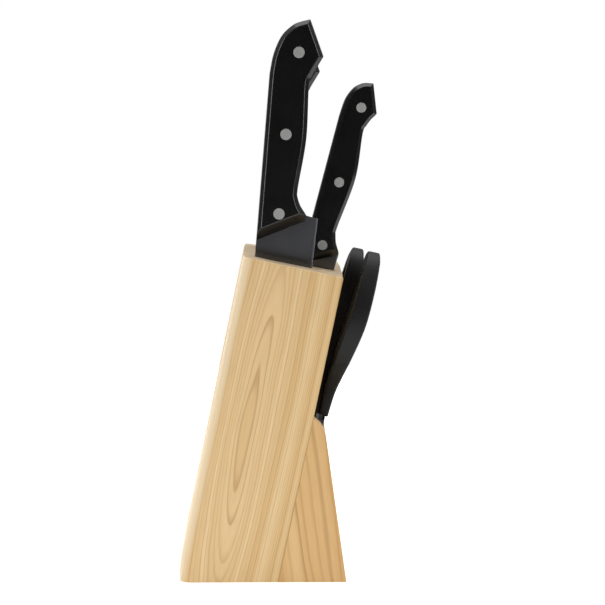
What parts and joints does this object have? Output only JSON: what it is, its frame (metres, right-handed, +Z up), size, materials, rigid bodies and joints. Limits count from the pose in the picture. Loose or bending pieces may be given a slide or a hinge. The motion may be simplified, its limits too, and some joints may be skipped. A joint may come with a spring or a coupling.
{
  "type": "knife block with knives",
  "caption": "Leaning laminated pine knife block with a wedge foot, riveted black-handled kitchen knives in slots and kitchen shears in a front pocket.",
  "frame": {"origin": "middle of the underside, on the table", "axes": "+Z up, +X from the heel of the block towards its foot and the shears, +Y from the near side board to the far one"},
  "size_m": [0.1209, 0.09, 0.3319],
  "materials": {
    "block_pine": "planed and sanded pine, clear matt finish",
    "foot_pine": "planed and sanded pine, clear matt finish",
    "handle_black": "moulded black plastic, satin",
    "rivet_aluminium": "ground flush with the scales",
    "blade_steel": "ground and polished stainless steel",
    "bow_black": "moulded black plastic, fine grain",
    "pivot_steel": "turned steel"
  },
  "bodies": {
    "block": {"side_board_near": "block_pine", "cook_slot_back_strip": "block_pine", "cook_slot_front_strip": "block_pine", "cook_slot_floor_strip": "block_pine", "inner_board": "block_pine", "utility_slot_back_strip": "block_pine", "utility_slot_front_strip": "block_pine", "utility_slot_floor_strip": "block_pine", "core_board_near": "block_pine", "core_board_far": "block_pine", "carving_slot_back_strip": "block_pine", "carving_slot_front_strip": "block_pine", "carving_slot_floor_strip": "block_pine", "side_board_far": "block_pine", "foot_cheek_near": "foot_pine", "foot_cheek_far": "foot_pine", "foot_wedge": "foot_pine", "foot_pocket_floor": "foot_pine"},
    "cook_knife": {"cook_blade": "blade_steel", "cook_scale_near": "handle_black", "cook_scale_far": "handle_black", "cook_rivets": "rivet_aluminium"},
    "carving_knife": {"carving_blade": "blade_steel", "carving_scale_near": "handle_black", "carving_scale_far": "handle_black", "carving_rivets": "rivet_aluminium"},
    "utility_knife": {"utility_blade": "blade_steel", "utility_scale_near": "handle_black", "utility_scale_far": "handle_black", "utility_rivets": "rivet_aluminium"},
    "shears_pivot": {"shears_pivot_screw": "pivot_steel", "shears_pivot_nut": "pivot_steel"},
    "shears_outer_half": {"shears_outer_blade": "blade_steel", "shears_near_bow": "bow_black"},
    "shears_inner_half": {"shears_inner_blade": "blade_steel", "shears_far_bow": "bow_black"}
  },
  "joints": [
    {"name": "cook_knife_slide", "type": "slide", "parent": "block", "child": "cook_knife", "axis": [0.0819, 0, 0.9966], "range_m": [0, 0.2]},
    {"name": "carving_knife_slide", "type": "slide", "parent": "block", "child": "carving_knife", "axis": [0.0819, 0, 0.9966], "range_m": [0, 0.2]},
    {"name": "utility_knife_slide", "type": "slide", "parent": "block", "child": "utility_knife", "axis": [0.2554, 0, 0.9668], "range_m": [0, 0.13]},
    {"name": "shears_slide", "type": "slide", "parent": "block", "child": "shears_pivot", "axis": [0.2053, 0, 0.9787], "range_m": [0, 0.1]},
    {"name": "outer_half_hinge", "type": "hinge", "parent": "shears_pivot", "child": "shears_outer_half", "pos_m": [0.03339, 0, 0.08863], "axis": [0.9787, 0, -0.2053], "range_deg": [0, 24]},
    {"name": "inner_half_hinge", "type": "hinge", "parent": "shears_pivot", "child": "shears_inner_half", "pos_m": [0.03339, 0, 0.08863], "axis": [0.9787, 0, -0.2053], "range_deg": [-24, 0]}
  ],
  "couplings": [
    {"joint": "inner_half_hinge", "follows": "outer_half_hinge", "ratio": -1}
  ]
}
